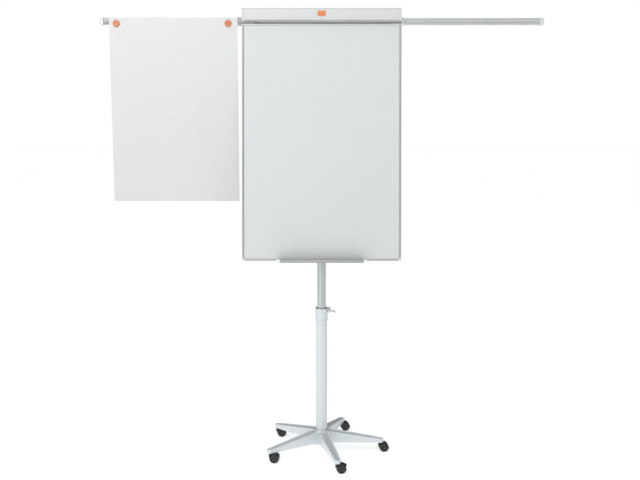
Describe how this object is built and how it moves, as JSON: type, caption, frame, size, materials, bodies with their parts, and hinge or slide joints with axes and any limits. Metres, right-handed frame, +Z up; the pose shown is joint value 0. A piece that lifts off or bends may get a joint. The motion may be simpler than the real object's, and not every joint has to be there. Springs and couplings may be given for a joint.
{
  "type": "flipchart easel",
  "caption": "Mobile flipchart easel: wheeled star base, telescopic mast, tilting whiteboard with pad clamp, pen tray and pull-out arms.",
  "frame": {"origin": "on the floor under the mast, at the bottom centre of the whole part", "axes": "+Z up, the writing face looks towards -Y, +X to the right of someone facing the board"},
  "size_m": [1.993, 0.5778, 2.0636],
  "materials": {
    "silver_paint": "satin",
    "caster_black": "satin",
    "caster_tread": "matte",
    "bright_steel": "satin",
    "dark_plastic": "satin",
    "black_plastic": "satin",
    "satin_tube": "satin",
    "bracket_paint": "satin",
    "board_face": "gloss",
    "frame_aluminium": "satin",
    "rail_aluminium": "satin",
    "arm_aluminium": "satin",
    "pale_plastic": "satin",
    "header_shell": "satin",
    "badge_orange": "gloss",
    "magnet_orange": "gloss",
    "paper": "matte"
  },
  "bodies": {
    "base": {"base_hub": "silver_paint", "base_leg_1": "silver_paint", "base_leg_2": "silver_paint", "base_leg_3": "silver_paint", "base_leg_4": "silver_paint", "base_leg_5": "silver_paint", "outer_tube": "silver_paint", "collar": "silver_paint", "guide_bush": "dark_plastic"},
    "caster_1": {"caster_housing_1": "caster_black", "caster_stem_1": "bright_steel"},
    "wheels_1": {"caster_wheels_1": "caster_tread"},
    "caster_2": {"caster_housing_2": "caster_black", "caster_stem_2": "bright_steel"},
    "wheels_2": {"caster_wheels_2": "caster_tread"},
    "caster_3": {"caster_housing_3": "caster_black", "caster_stem_3": "bright_steel"},
    "wheels_3": {"caster_wheels_3": "caster_tread"},
    "caster_4": {"caster_housing_4": "caster_black", "caster_stem_4": "bright_steel"},
    "wheels_4": {"caster_wheels_4": "caster_tread"},
    "brake_4": {"brake_lever_4": "caster_black"},
    "caster_5": {"caster_housing_5": "caster_black", "caster_stem_5": "bright_steel"},
    "wheels_5": {"caster_wheels_5": "caster_tread"},
    "brake_5": {"brake_lever_5": "caster_black"},
    "clamp_lever": {"clamp_lever": "bright_steel"},
    "mast": {"inner_tube": "satin_tube", "mast_foot_bush": "dark_plastic"},
    "head": {"tilt_head": "dark_plastic"},
    "tilt_knob": {"tilt_knob": "black_plastic"},
    "board": {"board_bracket": "bracket_paint", "board_panel": "board_face", "frame_left": "frame_aluminium", "frame_right": "frame_aluminium", "frame_bottom": "frame_aluminium", "corner_left": "pale_plastic", "corner_right": "pale_plastic", "arm_rail": "rail_aluminium", "arm_guide_left": "dark_plastic", "arm_guide_right": "pale_plastic", "header_back": "pale_plastic", "header_cap_left": "pale_plastic", "header_cap_right": "pale_plastic", "clamp_rod": "bright_steel", "pen_tray": "frame_aluminium", "tray_cap_left": "pale_plastic", "tray_cap_right": "pale_plastic"},
    "pad_clamp": {"pad_clamp": "header_shell", "badge": "badge_orange"},
    "pad_peg_left": {"pad_peg_left": "bright_steel"},
    "pad_peg_right": {"pad_peg_right": "bright_steel"},
    "left_arm": {"left_arm": "arm_aluminium", "left_arm_cap": "pale_plastic", "display_sheet": "paper", "magnet_left": "magnet_orange", "magnet_right": "magnet_orange"},
    "right_arm": {"right_arm": "arm_aluminium", "right_arm_cap": "pale_plastic"}
  },
  "joints": [
    {"name": "caster_1_swivel", "type": "hinge", "parent": "base", "child": "caster_1", "pos_m": [0.27954, -0.01612, 0.04], "axis": [0, 0, 1], "continuous": true},
    {"name": "wheels_1_roll", "type": "hinge", "parent": "caster_1", "child": "wheels_1", "pos_m": [0.29744, -0.01424, 0.0208], "axis": [-0.1045, 0.9945, 0], "continuous": true},
    {"name": "caster_2_swivel", "type": "hinge", "parent": "base", "child": "caster_2", "pos_m": [0.10171, 0.26087, 0.04], "axis": [0, 0, 1], "continuous": true},
    {"name": "wheels_2_roll", "type": "hinge", "parent": "caster_2", "child": "wheels_2", "pos_m": [0.11944, 0.264, 0.0208], "axis": [-0.1736, 0.9848, 0], "continuous": true},
    {"name": "caster_3_swivel", "type": "hinge", "parent": "base", "child": "caster_3", "pos_m": [-0.21668, 0.17735, 0.04], "axis": [0, 0, 1], "continuous": true},
    {"name": "wheels_3_roll", "type": "hinge", "parent": "caster_3", "child": "wheels_3", "pos_m": [-0.19878, 0.17923, 0.0208], "axis": [-0.1045, 0.9945, 0], "continuous": true},
    {"name": "caster_4_swivel", "type": "hinge", "parent": "base", "child": "caster_4", "pos_m": [-0.23562, -0.15127, 0.04], "axis": [0, 0, 1], "continuous": true},
    {"name": "wheels_4_roll", "type": "hinge", "parent": "caster_4", "child": "wheels_4", "pos_m": [-0.21769, -0.15284, 0.0208], "axis": [0.0872, 0.9962, 0], "continuous": true},
    {"name": "brake_4_pedal", "type": "hinge", "parent": "caster_4", "child": "brake_4", "pos_m": [-0.20695, -0.15378, 0.04291], "axis": [-0.0872, -0.9962, 0], "range_deg": [0, 18]},
    {"name": "caster_5_swivel", "type": "hinge", "parent": "base", "child": "caster_5", "pos_m": [0.07105, -0.27083, 0.04], "axis": [0, 0, 1], "continuous": true},
    {"name": "wheels_5_roll", "type": "hinge", "parent": "caster_5", "child": "wheels_5", "pos_m": [0.08903, -0.26989, 0.0208], "axis": [-0.0523, 0.9986, 0], "continuous": true},
    {"name": "brake_5_pedal", "type": "hinge", "parent": "caster_5", "child": "brake_5", "pos_m": [0.0998, -0.26933, 0.04291], "axis": [0.0523, -0.9986, 0], "range_deg": [0, 18]},
    {"name": "clamp_lever_turn", "type": "hinge", "parent": "base", "child": "clamp_lever", "pos_m": [0.0365, 0, 0.6865], "axis": [0, -1, 0], "range_deg": [0, 110]},
    {"name": "mast_height", "type": "slide", "parent": "base", "child": "mast", "axis": [0, 0, 1], "range_m": [-0.38, 0.05]},
    {"name": "board_turn", "type": "hinge", "parent": "mast", "child": "head", "pos_m": [0, 0, 1.155], "axis": [0, 0, 1], "continuous": true},
    {"name": "tilt_knob_turn", "type": "hinge", "parent": "head", "child": "tilt_knob", "pos_m": [0, 0, 1.228], "axis": [1, 0, 0], "range_deg": [0, 180]},
    {"name": "board_tilt", "type": "hinge", "parent": "head", "child": "board", "pos_m": [0, 0, 1.228], "axis": [1, 0, 0], "range_deg": [-25, 7.75]},
    {"name": "left_arm_slide", "type": "slide", "parent": "board", "child": "left_arm", "axis": [1, 0, 0], "range_m": [0, 0.597], "deforming": ["display_sheet"]},
    {"name": "right_arm_slide", "type": "slide", "parent": "board", "child": "right_arm", "axis": [-1, 0, 0], "range_m": [0, 0.609]},
    {"name": "pad_clamp_hinge", "type": "hinge", "parent": "board", "child": "pad_clamp", "pos_m": [0, 0.03286, 2.05159], "axis": [-1, 0, 0], "range_deg": [0, 30], "stiffness_Nm_per_rad": 0.4, "springref_deg": -28.65},
    {"name": "pad_peg_left_slide", "type": "slide", "parent": "board", "child": "pad_peg_left", "axis": [1, 0, 0], "range_m": [-0.08, 0.08]},
    {"name": "pad_peg_right_slide", "type": "slide", "parent": "board", "child": "pad_peg_right", "axis": [1, 0, 0], "range_m": [-0.08, 0.08]}
  ]
}
